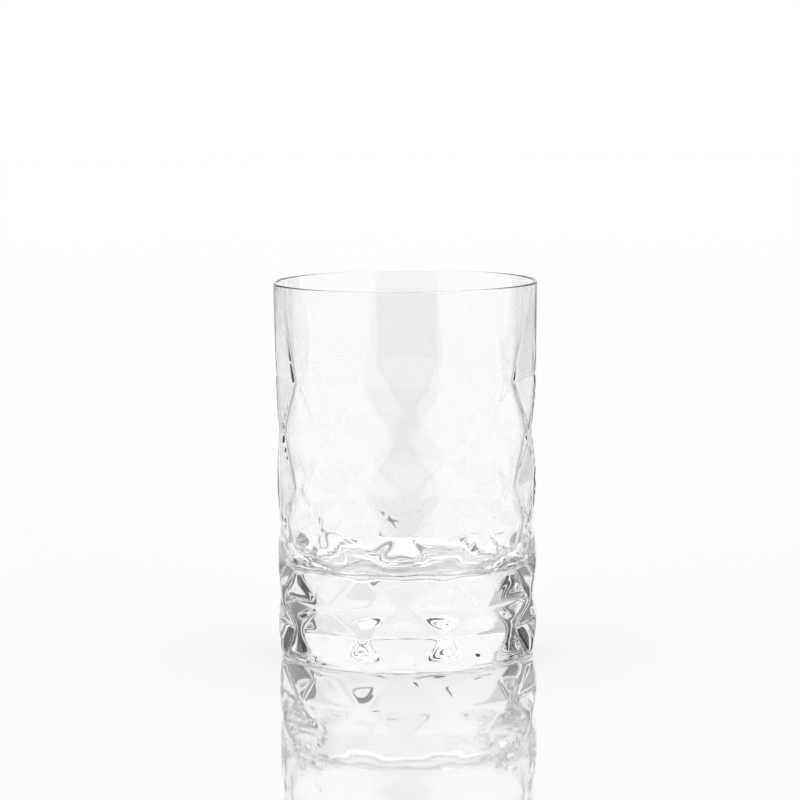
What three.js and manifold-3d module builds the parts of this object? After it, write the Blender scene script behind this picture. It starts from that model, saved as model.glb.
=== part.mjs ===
// A clear whiskey tumbler: one single piece of glass, round at the rim, with ten columns of
// flat facets that get smaller towards a thick, heavy base.
// Millimetres, +Z up. The origin is the centre of the circle that the glass stands on.

import * as THREE from "three";
import { mergeVertices } from "three/addons/utils/BufferGeometryUtils.js";
import Module from "manifold-3d";

const wasm = await Module();
wasm.setup();

// ---- Driving dimensions ----

const HEIGHT = 107.95; // 4.25 in, standing surface to the top of the rim
const WIDTH = 76.2; // 3 in, across the round rim, where the glass is widest
const RIM_THICKNESS = 1;
const WALL = 2; // from the facets outside to the facets inside, at the highest corners and below

const FOOT_RADIUS = 35.3; // outer edge of the flat ring that the glass stands on
const FOOT_RING_WIDTH = 12;
const FOOT_CORNER = 2.2; // rounding between the flat ring and the side
const PUNT_DEPTH = 0.5; // the shallow hollow under the base, inside the flat ring

const FLOOR_HEIGHT = 24.5; // inside floor, so the base is this thick
const FLOOR_CORNER = 9.5; // rounding between the inside floor and the bore
const BORE_SHOULDER_RADIUS = 35.65; // at the highest facet corners
const BORE_FLOOR_RADIUS = 35.3; // at the top of the floor's rounding

// Ten facet corners on each level. Each level is turned half a facet from the one above it,
// so flat triangles join them, and two triangles that share a level edge make a diamond.
// The round body is a little smaller than the circle of the corners, so it blunts each corner
// into a narrow round patch.
const FACET_COLUMNS = 10;
const BODY_RADIUS = 37.65;
const CORNER_RADIUS = 38.1;
const CORNER_HEIGHTS = [80.7, 65.4, 50.6, 39.3, 27.6, 17.8, 10.4];
const FACET_TOP = HEIGHT - RIM_THICKNESS; // the tall facets fade out here, just under the rim

// ---- Fineness of the round surfaces ----

const SLICES_PER_FACET = 6;
const SLICES = FACET_COLUMNS * SLICES_PER_FACET;
const ARC_STEPS = 7;
const MARGIN = 0.3; // how far a facet body clears a turned blank where it doesn't cut it

const FACET_ANGLE = (2 * Math.PI) / FACET_COLUMNS;
const FLAT_SHARE = Math.cos(FACET_ANGLE / 2); // a facet's middle is this much nearer to the axis

// ---- Helpers ----

// The solid of a closed geometry, ready for a boolean.
function solidOf(geometry) {
  const bare = geometry.clone();
  bare.deleteAttribute("normal");
  bare.deleteAttribute("uv");
  const merged = mergeVertices(bare, 1e-4);
  return new wasm.Manifold(
    new wasm.Mesh({
      numProp: 3,
      vertProperties: merged.attributes.position.array,
      triVerts: new Uint32Array(merged.index.array),
    }),
  );
}

// The geometry of a solid.
function geometryOf(solid) {
  const mesh = solid.getMesh();
  const geometry = new THREE.BufferGeometry();
  geometry.setAttribute("position", new THREE.BufferAttribute(mesh.vertProperties, 3));
  geometry.setIndex(new THREE.BufferAttribute(mesh.triVerts, 1));
  geometry.computeVertexNormals();
  return geometry;
}

// A point on a turned profile: its distance from the axis, and its height.
function profilePoint(radius, height) {
  return new THREE.Vector2(radius, height);
}

// Profile points on an arc about a centre, between two angles in degrees.
function arc(centreRadius, centreHeight, radius, fromDegrees, toDegrees) {
  const points = [];
  for (let i = 0; i <= ARC_STEPS; i++) {
    const degrees = THREE.MathUtils.lerp(fromDegrees, toDegrees, i / ARC_STEPS);
    const turn = THREE.MathUtils.degToRad(degrees);
    const across = radius * Math.cos(turn);
    const up = radius * Math.sin(turn);
    points.push(profilePoint(centreRadius + across, centreHeight + up));
  }
  return points;
}

// The solid that a profile makes when it is turned about the Z axis.
function turned(profile) {
  const geometry = new THREE.LatheGeometry(profile, SLICES);
  geometry.rotateX(Math.PI / 2); // the lathe turns about Y, the glass stands along Z
  return solidOf(geometry);
}

// ---- The turned blanks: the glass and its inside as they would be without facets ----

// Solid glass up to the rim, with the rounded foot and the shallow hollow under it.
function outerBlank() {
  const puntRadius = FOOT_RADIUS - FOOT_RING_WIDTH;
  const halfRim = RIM_THICKNESS / 2;
  return turned([
    profilePoint(0, PUNT_DEPTH),
    profilePoint(puntRadius * 0.5, PUNT_DEPTH * 0.8),
    profilePoint(puntRadius * 0.85, PUNT_DEPTH * 0.3),
    profilePoint(puntRadius, 0),
    ...arc(FOOT_RADIUS, FOOT_CORNER, FOOT_CORNER, -90, 0),
    profilePoint(BODY_RADIUS, CORNER_HEIGHTS[0]),
    ...arc(WIDTH / 2 - halfRim, HEIGHT - halfRim, halfRim, 0, 90),
    profilePoint(0, HEIGHT),
  ]);
}

// The inside, from the rounded floor to past the rim, whose inner edge is rounded too.
function innerBlank() {
  const halfRim = RIM_THICKNESS / 2;
  return turned([
    profilePoint(0, FLOOR_HEIGHT),
    ...arc(
      BORE_FLOOR_RADIUS - FLOOR_CORNER,
      FLOOR_HEIGHT + FLOOR_CORNER,
      FLOOR_CORNER,
      -90,
      0,
    ),
    profilePoint(BORE_SHOULDER_RADIUS, CORNER_HEIGHTS[0]),
    ...arc(WIDTH / 2 - halfRim, HEIGHT - halfRim, halfRim, 180, 90),
    profilePoint(WIDTH / 2 - halfRim, HEIGHT + MARGIN),
    profilePoint(0, HEIGHT + MARGIN),
  ]);
}

// ---- The facet bodies: closed solids whose sides are the facet planes ----

// A point at a distance from the axis, a turn from the front, and a height.
function pointAt(radius, angle, height) {
  return new THREE.Vector3(radius * Math.sin(angle), -radius * Math.cos(angle), height);
}

// The corners of one level, counted from the highest. Odd levels sit on the facet centres.
function cornerLevel(level, radius, height) {
  const halfTurn = level % 2 === 0 ? 0.5 : 0;
  const corners = [];
  for (let column = 0; column < FACET_COLUMNS; column++) {
    corners.push(pointAt(radius, (column + halfTurn) * FACET_ANGLE, height));
  }
  return corners;
}

// The two triangles between a pair of neighbouring corners and the pair below it.
function wall(upper, lower, column) {
  const next = (column + 1) % FACET_COLUMNS;
  return [
    [upper[column], lower[column], lower[next]],
    [upper[column], lower[next], upper[next]],
  ];
}

// The two triangles of one column between two levels that are half a facet apart.
function facetPair(upper, lower, level, column) {
  const next = (column + 1) % FACET_COLUMNS;
  if (level % 2 === 1) {
    return [
      [upper[column], lower[column], upper[next]],
      [upper[next], lower[column], lower[next]],
    ];
  }
  return [
    [upper[column], lower[next], upper[next]],
    [upper[column], lower[column], lower[next]],
  ];
}

// All facets as one closed solid. The inset moves them towards the axis, and the rim inset
// does that at their top, where the tall facets just touch the round body.
function facetBody(inset, rimInset) {
  const topCornerRadius = (WIDTH / 2 - rimInset) / FLAT_SHARE;
  const top = cornerLevel(0, topCornerRadius, FACET_TOP);
  const lid = cornerLevel(0, topCornerRadius, HEIGHT + MARGIN);
  const levels = [...CORNER_HEIGHTS, 0].map((height, level) =>
    cornerLevel(level, CORNER_RADIUS - inset, height),
  );
  const lowest = levels[levels.length - 1];
  const underside = lowest.map((corner) => corner.clone().setZ(-MARGIN));
  const lidCentre = new THREE.Vector3(0, 0, HEIGHT + MARGIN);
  const undersideCentre = new THREE.Vector3(0, 0, -MARGIN);

  const triangles = [];
  for (let column = 0; column < FACET_COLUMNS; column++) {
    const next = (column + 1) % FACET_COLUMNS;
    triangles.push([lidCentre, lid[column], lid[next]]);
    triangles.push(...wall(lid, top, column));
    triangles.push(...wall(top, levels[0], column));
    for (let level = 0; level < CORNER_HEIGHTS.length; level++) {
      triangles.push(...facetPair(levels[level], levels[level + 1], level, column));
    }
    triangles.push(...wall(lowest, underside, column));
    triangles.push([undersideCentre, underside[next], underside[column]]);
  }
  return solidOf(new THREE.BufferGeometry().setFromPoints(triangles.flat()));
}

// ---- The tumbler ----

function glassMaterial() {
  const material = new THREE.MeshStandardMaterial({ color: 0xf4f8f8 });
  material.roughness = 0.03;
  material.metalness = 0;
  material.transparent = true;
  material.opacity = 0.35;
  return material;
}

function glassTumbler() {
  const outside = outerBlank().intersect(facetBody(0, 0));
  const inside = innerBlank().intersect(facetBody(WALL, RIM_THICKNESS));
  const mesh = new THREE.Mesh(geometryOf(outside.subtract(inside)), glassMaterial());
  mesh.name = "glass_tumbler";
  return mesh;
}

const tumbler = new THREE.Group();
tumbler.name = "whiskey_tumbler";
tumbler.add(glassTumbler());

export default tumbler;
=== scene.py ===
"""A clear faceted whiskey tumbler on a pale glossy floor, in a bright studio tent.

Lengths are metres. +Z is up, and the camera looks along +Y from a little above the rim.
"""

import math

import bpy
import mathutils
import numpy as np
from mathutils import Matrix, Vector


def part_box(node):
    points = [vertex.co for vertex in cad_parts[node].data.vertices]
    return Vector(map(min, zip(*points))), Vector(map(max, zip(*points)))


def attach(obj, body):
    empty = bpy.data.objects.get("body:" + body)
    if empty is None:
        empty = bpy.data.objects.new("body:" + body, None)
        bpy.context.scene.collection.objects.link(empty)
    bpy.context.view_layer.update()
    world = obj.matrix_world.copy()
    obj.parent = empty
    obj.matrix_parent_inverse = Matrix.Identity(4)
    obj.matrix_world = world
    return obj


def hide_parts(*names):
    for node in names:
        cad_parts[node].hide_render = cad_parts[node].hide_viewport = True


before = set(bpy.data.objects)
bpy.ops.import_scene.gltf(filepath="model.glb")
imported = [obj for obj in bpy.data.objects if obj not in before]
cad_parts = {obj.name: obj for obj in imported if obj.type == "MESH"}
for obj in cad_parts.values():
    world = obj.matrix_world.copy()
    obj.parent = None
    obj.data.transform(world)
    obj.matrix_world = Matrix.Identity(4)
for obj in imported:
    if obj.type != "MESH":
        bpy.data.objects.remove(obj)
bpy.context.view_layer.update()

MM = 0.001

# ---- The tumbler's sizes: the box comes from the frame, the rest repeats the CAD design ----

low_corner, high_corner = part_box("glass_tumbler")
HEIGHT = high_corner.z
RIM_RADIUS = high_corner.x
RIM_THICKNESS = 1.0 * MM
WALL = 2.0 * MM  # from the facets outside to the facets inside
FOOT_RADIUS = 35.3 * MM  # outer edge of the flat ring that the glass stands on
FOOT_RING_WIDTH = 12.0 * MM
FOOT_CORNER = 2.2 * MM
PUNT_DEPTH = 0.5 * MM  # the shallow hollow inside the flat ring
FLOOR_HEIGHT = 24.5 * MM
FLOOR_CORNER = 9.5 * MM
BORE_SHOULDER_RADIUS = 35.65 * MM  # at the highest facet corners
BORE_FLOOR_RADIUS = 35.3 * MM  # at the top of the floor's rounding

FACET_COLUMNS = 10
BODY_RADIUS = 37.65 * MM  # the round body, which blunts the facets' corners
CORNER_RADIUS = 38.1 * MM
CORNER_HEIGHTS = [80.7 * MM, 65.4 * MM, 50.6 * MM, 39.3 * MM, 27.6 * MM, 17.8 * MM, 10.4 * MM]
FACET_TOP = HEIGHT - RIM_THICKNESS
HALF_FACET = math.pi / FACET_COLUMNS
FLAT_SHARE = math.cos(HALF_FACET)  # a facet's middle is this much nearer to the axis than its corners

# ---- How the fire polish softens the facets: ridges across, level edges up and down ----

OUTER_RIDGE = 0.15 * MM
OUTER_CREASE = 0.8 * MM
INNER_RIDGE = 0.15 * MM
INNER_CREASE = 0.8 * MM

# ---- How the poured glass wavers inside the base ----

WAVE_HEIGHT = 0.12 * MM
WAVE_LENGTH = 17.0 * MM
WAVE_TOP = 40.0 * MM  # the walls above are even
WAVE_FADE = 10.0 * MM  # the waves grow to their full height over this drop

# ---- Fineness of the mesh ----

COLUMNS = 960
ROW_STEP = 0.35 * MM
ARC_ROWS = 10
PUNT_ROWS = 24
FLOOR_ROWS = 20
MIDDLE_SHARE = 0.02  # the smallest ring round the axis, as a share of its disc
CREASE_SAMPLES = 9


def facet_tables(inset, rim_inset):
    """Heights and middle radii of the two sets of facet planes, from the foot up.

    Set 0 has a facet at the front, set 1 is turned half a facet. At each level one set is at
    its corner and the other at its level edge. Above the highest level set 0 are the tall
    facets, which lean out to the rim, and set 1 is left outside the glass.
    """
    heights = [0.0] + CORNER_HEIGHTS[::-1] + [FACET_TOP, HEIGHT]
    set_0 = []
    set_1 = []
    radius = CORNER_RADIUS - inset
    for level in range(len(heights) - 2):
        at_corner_0 = level % 2 == 0
        set_0.append(radius if at_corner_0 else radius * FLAT_SHARE)
        set_1.append(radius * FLAT_SHARE if at_corner_0 else radius)
    rim = RIM_RADIUS - rim_inset
    past_rim = rim + 1 * MM
    set_0.extend([rim, past_rim])
    outside = set_1[-1] + 5 * MM
    set_1.extend([outside, outside])
    return heights, set_0, set_1


def softened(height, heights, radii, crease):
    """The middle radius at a height, averaged over a short stretch so that creases are round."""
    stretch = np.linspace(-crease, crease, CREASE_SAMPLES)
    return float(np.mean(np.interp(height + stretch, heights, radii)))


def soft_least(candidates, softness):
    """The least of several arrays, with a rounded change from one to the next."""
    least = np.minimum.reduce(candidates)
    total = sum(np.exp(-(c - least) / softness) for c in candidates)
    return least - softness * np.log(total)


def facet_radii(angles, height, tables, crease):
    """Distance from the axis to the facet planes, all round at one height.

    Each set gives the facet that a direction falls in and the next facet of the same set.
    """
    heights, set_0, set_1 = tables
    found = []
    for turn, radii in ((0.0, set_0), (HALF_FACET, set_1)):
        middle = softened(height, heights, radii, crease)
        off_middle = (angles - turn + HALF_FACET) % (2 * HALF_FACET) - HALF_FACET
        found.append(middle / np.cos(off_middle))
        found.append(middle / np.cos(2 * HALF_FACET - np.abs(off_middle)))
    return found


def outer_blank(height):
    """Radius of the glass as turned, before its facets."""
    half = RIM_THICKNESS / 2
    if height < FOOT_CORNER:
        return FOOT_RADIUS + math.sqrt(max(FOOT_CORNER**2 - (FOOT_CORNER - height) ** 2, 0))
    if height > HEIGHT - half:
        return RIM_RADIUS - half + math.sqrt(max(half**2 - (height - HEIGHT + half) ** 2, 0))
    heights = [FOOT_CORNER, CORNER_HEIGHTS[0], HEIGHT - half]
    radii = [FOOT_RADIUS + FOOT_CORNER, BODY_RADIUS, RIM_RADIUS]
    return float(np.interp(height, heights, radii))


def inner_blank(height):
    """Radius of the inside as turned, before its facets."""
    half = RIM_THICKNESS / 2
    if height > HEIGHT - half:
        return RIM_RADIUS - half - math.sqrt(max(half**2 - (height - HEIGHT + half) ** 2, 0))
    corner_top = FLOOR_HEIGHT + FLOOR_CORNER
    if height < corner_top:
        across = math.sqrt(max(FLOOR_CORNER**2 - (corner_top - height) ** 2, 0))
        return BORE_FLOOR_RADIUS - FLOOR_CORNER + across
    levels = [corner_top, CORNER_HEIGHTS[0], HEIGHT - half]
    radii = [BORE_FLOOR_RADIUS, BORE_SHOULDER_RADIUS, RIM_RADIUS - RIM_THICKNESS]
    return float(np.interp(height, levels, radii))


def ring(angles, height, blank, tables, ridge, crease):
    """Radii all round at one height: the blank, cut by the facets."""
    turned = np.full_like(angles, blank)
    return soft_least([turned] + facet_radii(angles, height, tables, crease), ridge)


def wavered(radii, angles, height):
    """Radii and heights of an inner ring, moved a little by broad waves in the poured glass.

    The floor rises and sinks, and towards the wall the glass swells and shrinks too. The waves
    are crossing sines of different lengths, so they don't keep step with the facets.
    """
    per_metre = 2 * math.pi / WAVE_LENGTH
    across = radii * np.sin(angles) * per_metre
    along = radii * np.cos(angles) * per_metre
    up = height * per_metre
    rise = np.sin(across + 0.4 * along + 0.5) + 0.7 * np.sin(1.7 * along - 0.6 * across + 2.1)
    swell = np.sin(1.3 * across + up) + 0.7 * np.cos(1.1 * along - 1.4 * up + 0.8)
    strength = WAVE_HEIGHT * min(max((WAVE_TOP - height) / WAVE_FADE, 0), 1)
    near_wall = min(1, float(radii.max()) / BORE_FLOOR_RADIUS) ** 4
    return radii + strength * near_wall * swell, height + strength * rise


def side_heights(bottom, bottom_corner, top_corner):
    """Heights from a rounded bottom corner to the rim, close together on both roundings."""
    quarter = np.linspace(0, math.pi / 2, ARC_ROWS)
    low = bottom + bottom_corner * (1 - np.cos(quarter))
    high = HEIGHT - top_corner * (1 - np.cos(quarter[::-1]))
    middle = np.arange(low[-1] + ROW_STEP, high[0] - ROW_STEP / 2, ROW_STEP)
    return np.concatenate([low, middle, high])


def glass_rings(angles):
    """All rings of the glass as (radii, height) pairs, from under the foot over the rim to the floor."""
    rings = []
    punt_radius = FOOT_RADIUS - FOOT_RING_WIDTH
    for share in np.linspace(MIDDLE_SHARE, 1, PUNT_ROWS):
        depth = PUNT_DEPTH * (1 - share**2) ** 1.5
        rings.append((np.full_like(angles, punt_radius * share), depth))
    for share in (0.25, 0.5, 0.75):
        rings.append((np.full_like(angles, punt_radius + FOOT_RING_WIDTH * share), 0.0))
    outer_tables = facet_tables(0.0, 0.0)
    for height in side_heights(0.0, FOOT_CORNER, RIM_THICKNESS / 2):
        radii = ring(angles, height, outer_blank(height), outer_tables, OUTER_RIDGE, OUTER_CREASE)
        rings.append((radii, height))
    inner_tables = facet_tables(WALL, RIM_THICKNESS)
    for height in side_heights(FLOOR_HEIGHT, FLOOR_CORNER, RIM_THICKNESS / 2)[::-1][1:]:
        radii = ring(angles, height, inner_blank(height), inner_tables, INNER_RIDGE, INNER_CREASE)
        rings.append(wavered(radii, angles, height))
    floor_radius = BORE_FLOOR_RADIUS - FLOOR_CORNER
    for share in np.linspace(0.95, MIDDLE_SHARE, FLOOR_ROWS):
        rings.append(wavered(np.full_like(angles, floor_radius * share), angles, FLOOR_HEIGHT))
    return rings


def glass_mesh():
    """The closed mesh through all rings, with a point at each end on the axis."""
    angles = np.arange(COLUMNS) * 2 * math.pi / COLUMNS
    rings = glass_rings(angles)
    vertices = []
    for radii, height in rings:
        across = radii * np.sin(angles)
        along = -radii * np.cos(angles)
        heights = np.broadcast_to(height, angles.shape)
        vertices.extend(zip(across.tolist(), along.tolist(), heights.tolist()))
    under = len(vertices)
    vertices.append((0.0, 0.0, PUNT_DEPTH))
    inside = len(vertices)
    vertices.append((0.0, 0.0, float(np.mean(rings[-1][1]))))

    faces = []
    last = (len(rings) - 1) * COLUMNS
    for column in range(COLUMNS):
        after = (column + 1) % COLUMNS
        faces.append((under, after, column))
        faces.append((inside, last + column, last + after))
        for row in range(0, last, COLUMNS):
            upper = row + COLUMNS
            faces.append((row + column, row + after, upper + after, upper + column))

    mesh = bpy.data.meshes.new("tumbler_glass")
    mesh.from_pydata(vertices, [], faces)
    mesh.shade_smooth()
    mesh.validate()
    return mesh


def glass_material():
    """Clear crystal with a faint ripple in its polish, a touch darker where it is thick."""
    material = bpy.data.materials.new("clear_crystal")
    material.use_nodes = True
    nodes = material.node_tree.nodes
    links = material.node_tree.links
    shader = nodes["Principled BSDF"]
    shader.inputs["Base Color"].default_value = (0.975, 0.98, 0.98, 1)
    shader.inputs["Roughness"].default_value = 0.0
    shader.inputs["IOR"].default_value = 1.52
    shader.inputs["Transmission Weight"].default_value = 1.0
    place = nodes.new("ShaderNodeTexCoord")
    ripple = nodes.new("ShaderNodeTexNoise")
    ripple.inputs["Scale"].default_value = 55.0
    ripple.inputs["Detail"].default_value = 1.0
    polish = nodes.new("ShaderNodeBump")
    polish.inputs["Strength"].default_value = 0.3
    polish.inputs["Distance"].default_value = 0.2 * MM
    links.new(place.outputs["Object"], ripple.inputs["Vector"])
    links.new(ripple.outputs[0], polish.inputs["Height"])
    links.new(polish.outputs["Normal"], shader.inputs["Normal"])
    depth = nodes.new("ShaderNodeVolumeAbsorption")
    depth.inputs["Color"].default_value = (0.5, 0.56, 0.55, 1)
    depth.inputs["Density"].default_value = 0.5
    links.new(depth.outputs["Volume"], nodes["Material Output"].inputs["Volume"])
    return material


def make_tumbler():
    """The whole glass, as one mesh that stands in for the CAD solid."""
    tumbler = bpy.data.objects.new("tumbler_glass", glass_mesh())
    bpy.context.scene.collection.objects.link(tumbler)
    tumbler.data.materials.append(glass_material())
    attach(tumbler, "root")
    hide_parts("glass_tumbler")


def make_floor():
    """A wide white acrylic sheet, polished enough to mirror the glass."""
    reach = 3.0
    gap_under_glass = 0.02 * MM
    corners = [(-reach, -reach, 0), (reach, -reach, 0), (reach, reach, 0), (-reach, reach, 0)]
    mesh = bpy.data.meshes.new("floor")
    mesh.from_pydata(corners, [], [(0, 1, 2, 3)])
    floor = bpy.data.objects.new("floor", mesh)
    floor.location.z = -gap_under_glass
    bpy.context.scene.collection.objects.link(floor)
    material = bpy.data.materials.new("white_acrylic")
    material.use_nodes = True
    shader = material.node_tree.nodes["Principled BSDF"]
    shader.inputs["Base Color"].default_value = (0.9, 0.9, 0.9, 1)
    shader.inputs["Metallic"].default_value = 0.55
    shader.inputs["Roughness"].default_value = 0.03
    shader.inputs["IOR"].default_value = 1.45
    floor.data.materials.append(material)


# ---- The studio ----

# Dark cards hung in the white tent round the glass. Turns are in degrees from the camera's side,
# minus towards -X and plus towards +X, so 180 is straight behind the glass. The first card is
# beside the camera and gives the dark panel up the middle. The rest stand behind, and the glass
# bends them into the dark lines at its sides and in its base.
# Each card: middle turn, half its width, lowest and highest elevation, soft edge, grey.
CARDS = [
    (0, 29, -90, 90, 2, 0.05),
    (-118, 4, -90, 14, 0.7, 0.0),
    (-128, 3.5, -90, 15, 0.7, 0.0),
    (-137, 1.5, -90, 15, 0.7, 0.02),
    (-140, 9, -90, 15, 6, 0.6),
    (118, 4, -90, 14, 0.7, 0.0),
    (128, 3.5, -90, 15, 0.7, 0.0),
    (137, 2, -90, 15, 0.7, 0.02),
    (146, 1.5, -90, 15, 0.7, 0.02),
    (140, 12, -90, 15, 6, 0.75),
    (162, 7, -90, 9, 3, 0.85),
    (-166, 9, 20.2, 22.6, 0.6, 0.0),
    (166, 9, 20.2, 22.6, 0.6, 0.0),
]
TENT_STRENGTH = 1.02
OVERHEAD_GAIN = 0.6
OVERHEAD = (33, 53)  # elevations where the overhead light begins and is full, in degrees


def rising(nodes, links, value, start, end, low=0.0, high=1.0):
    """A smooth step from low to high while a value goes from start to end."""
    step = nodes.new("ShaderNodeMapRange")
    step.interpolation_type = "SMOOTHSTEP"
    step.inputs["From Min"].default_value = start
    step.inputs["From Max"].default_value = end
    step.inputs["To Min"].default_value = low
    step.inputs["To Max"].default_value = high
    links.new(value, step.inputs["Value"])
    return step.outputs["Result"]


def product(nodes, links, first, second):
    """Two values multiplied."""
    multiply = nodes.new("ShaderNodeMath")
    multiply.operation = "MULTIPLY"
    links.new(first, multiply.inputs[0])
    links.new(second, multiply.inputs[1])
    return multiply.outputs[0]


def card_shade(nodes, links, level_direction, height, card):
    """What one card leaves of the tent's light: 1 beside the card, its grey on it."""
    turn, half_width, lowest, highest, edge, grey = card
    facing = nodes.new("ShaderNodeVectorMath")
    facing.operation = "DOT_PRODUCT"
    turned = math.radians(turn)
    facing.inputs[1].default_value = (math.sin(turned), -math.cos(turned), 0)
    links.new(level_direction, facing.inputs[0])
    outside = math.cos(math.radians(half_width + edge))
    inside = math.cos(math.radians(half_width - edge))
    cover = rising(nodes, links, facing.outputs["Value"], outside, inside)
    for limit, side in ((lowest, 1), (highest, -1)):
        if abs(limit) < 90:
            start = math.sin(math.radians(limit - side * edge))
            end = math.sin(math.radians(limit + side * edge))
            cover = product(nodes, links, cover, rising(nodes, links, height, start, end))
    return rising(nodes, links, cover, 0, 1, 1, grey)


def make_world():
    """The tent: even white light, brighter overhead, less what the cards hide."""
    world = bpy.data.worlds.new("studio_tent")
    world.use_nodes = True
    bpy.context.scene.world = world
    nodes = world.node_tree.nodes
    links = world.node_tree.links
    background = nodes["Background"]
    coords = nodes.new("ShaderNodeTexCoord")
    split = nodes.new("ShaderNodeSeparateXYZ")
    links.new(coords.outputs["Generated"], split.inputs[0])
    height = split.outputs["Z"]
    flatten = nodes.new("ShaderNodeVectorMath")
    flatten.operation = "MULTIPLY"
    flatten.inputs[1].default_value = (1, 1, 0)
    links.new(coords.outputs["Generated"], flatten.inputs[0])
    level = nodes.new("ShaderNodeVectorMath")
    level.operation = "NORMALIZE"
    links.new(flatten.outputs[0], level.inputs[0])

    overhead_start, overhead_full = [math.sin(math.radians(elevation)) for elevation in OVERHEAD]
    full = TENT_STRENGTH + OVERHEAD_GAIN
    light = rising(nodes, links, height, overhead_start, overhead_full, TENT_STRENGTH, full)
    for card in CARDS:
        light = product(nodes, links, light, card_shade(nodes, links, level.outputs[0], height, card))
    links.new(light, background.inputs["Strength"])
    background.inputs["Color"].default_value = (1, 1, 1, 1)


def make_camera():
    """A long lens a little above the rim, at the height and distance the view needs."""
    distance = 0.960
    height = 0.189
    pitch = math.radians(6.85)
    azimuth = math.radians(1.9)
    roll = math.radians(-0.45)
    camera_data = bpy.data.cameras.new("camera")
    camera_data.sensor_width = 36
    camera_data.lens = 150.3
    camera_data.shift_x = -0.0076
    camera_data.shift_y = -0.0015
    camera = bpy.data.objects.new("camera", camera_data)
    camera.location = (distance * math.sin(azimuth), -distance * math.cos(azimuth), height)
    camera.rotation_mode = "XYZ"
    look = mathutils.Euler((math.radians(90) - pitch, 0, azimuth)).to_matrix()
    camera.rotation_euler = (look @ mathutils.Matrix.Rotation(roll, 3, "Z")).to_euler()
    camera_data.clip_start = 0.01
    camera_data.clip_end = 100
    bpy.context.scene.collection.objects.link(camera)
    bpy.context.scene.camera = camera


def set_picture():
    """Plain colours, and enough bounces for light to get through the glass and back."""
    scene = bpy.context.scene
    scene.view_settings.view_transform = "Standard"
    scene.cycles.max_bounces = 32
    scene.cycles.transmission_bounces = 32
    scene.cycles.glossy_bounces = 16
    scene.cycles.diffuse_bounces = 6
    scene.cycles.caustics_refractive = True
    scene.cycles.caustics_reflective = True


make_camera()
make_world()
make_floor()
make_tumbler()
set_picture()
